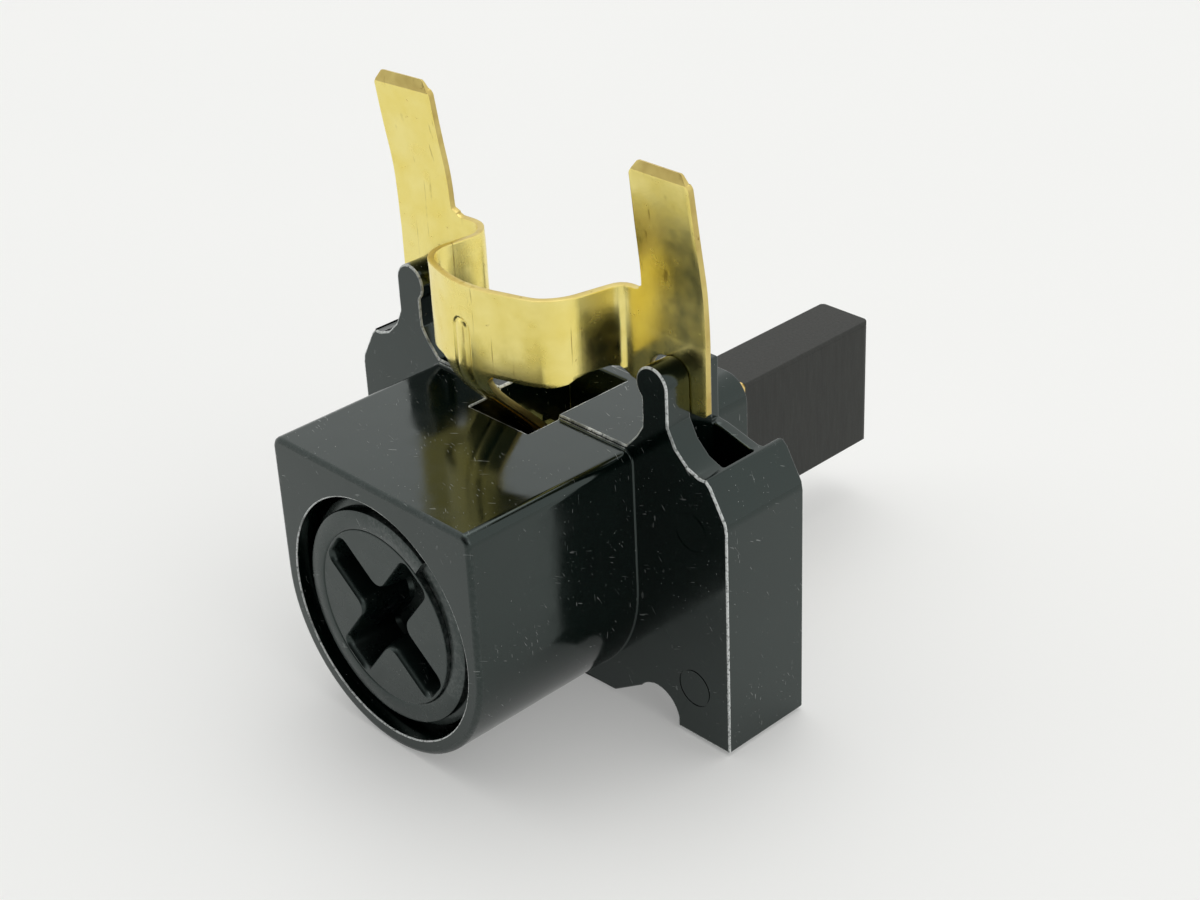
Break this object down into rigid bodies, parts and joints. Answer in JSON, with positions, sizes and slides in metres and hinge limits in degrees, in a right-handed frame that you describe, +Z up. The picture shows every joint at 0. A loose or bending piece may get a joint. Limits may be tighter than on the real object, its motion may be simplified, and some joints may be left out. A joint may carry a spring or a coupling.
{
  "type": "carbon brush holder",
  "caption": "Moulded holder that guides a sprung carbon brush against a motor's commutator, with a screw cap and a brass terminal clip.",
  "frame": {"origin": "centre of the bounding box's base", "axes": "+X across the wings, +Y along the brush axis from the screw cap to the brush tip, +Z up towards the blade tabs"},
  "size_m": [0.0402, 0.0526, 0.0451],
  "materials": {
    "black_plastic": "glossy black phenolic moulding with pale worn edges",
    "cap_plastic": "satin black plastic",
    "clip_brass": "polished rolled brass strip",
    "tube_brass": "drawn brass",
    "carbon": "matte dark grey pressed carbon graphite",
    "spring_steel": "bright spring wire",
    "copper_braid": "bare braided copper"
  },
  "bodies": {
    "holder": {"holder_body": "black_plastic", "brush_tube": "tube_brass", "terminal_clip": "clip_brass"},
    "cap_seat": {"brush_head": "tube_brass", "brush_spring": "spring_steel", "shunt_lead": "copper_braid"},
    "cap": {"brush_cap": "cap_plastic"},
    "brush": {"carbon_brush": "carbon", "shunt_plug": "copper_braid"}
  },
  "joints": [
    {"name": "cap_unscrew", "type": "slide", "parent": "holder", "child": "cap_seat", "axis": [0, -1, 0], "range_m": [0, 0.008]},
    {"name": "cap_turn", "type": "hinge", "parent": "cap_seat", "child": "cap", "pos_m": [0, -0.0263, 0.011], "axis": [0, -1, 0], "range_deg": [0, 1441]},
    {"name": "brush_slide", "type": "slide", "parent": "holder", "child": "brush", "axis": [0, -1, 0], "range_m": [0, 0.013], "stiffness_N_per_m": 300, "springref_m": -0.01, "deforming": ["brush_spring", "shunt_lead"]}
  ],
  "couplings": [
    {"joint": "cap_turn", "follows": "cap_unscrew", "rad_per_m": 3141.6}
  ]
}
